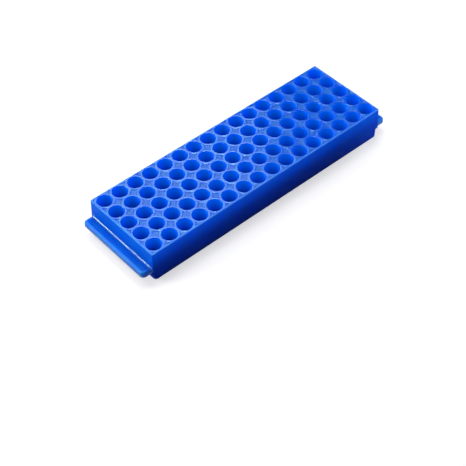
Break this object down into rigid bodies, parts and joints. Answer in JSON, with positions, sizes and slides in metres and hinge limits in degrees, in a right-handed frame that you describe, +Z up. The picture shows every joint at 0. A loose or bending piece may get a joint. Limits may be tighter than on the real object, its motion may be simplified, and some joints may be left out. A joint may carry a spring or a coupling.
{
  "type": "microcentrifuge tube rack",
  "caption": "Low rectangular bench rack with a grid of blind round wells for microcentrifuge tubes and a carrying flange at each end, moulded in one translucent blue piece.",
  "frame": {"origin": "on the surface the rack stands on, under the middle of the deck", "axes": "+X along the long side, across the columns of wells; +Y across the rows; +Z up, out of the wells"},
  "size_m": [0.226, 0.067, 0.0254],
  "materials": {
    "blue_polypropylene": "moulded polypropylene, satin on the walls, finely grained on the pads between the wells"
  },
  "bodies": {
    "root": {"tube_rack": "blue_polypropylene"}
  },
  "joints": []
}
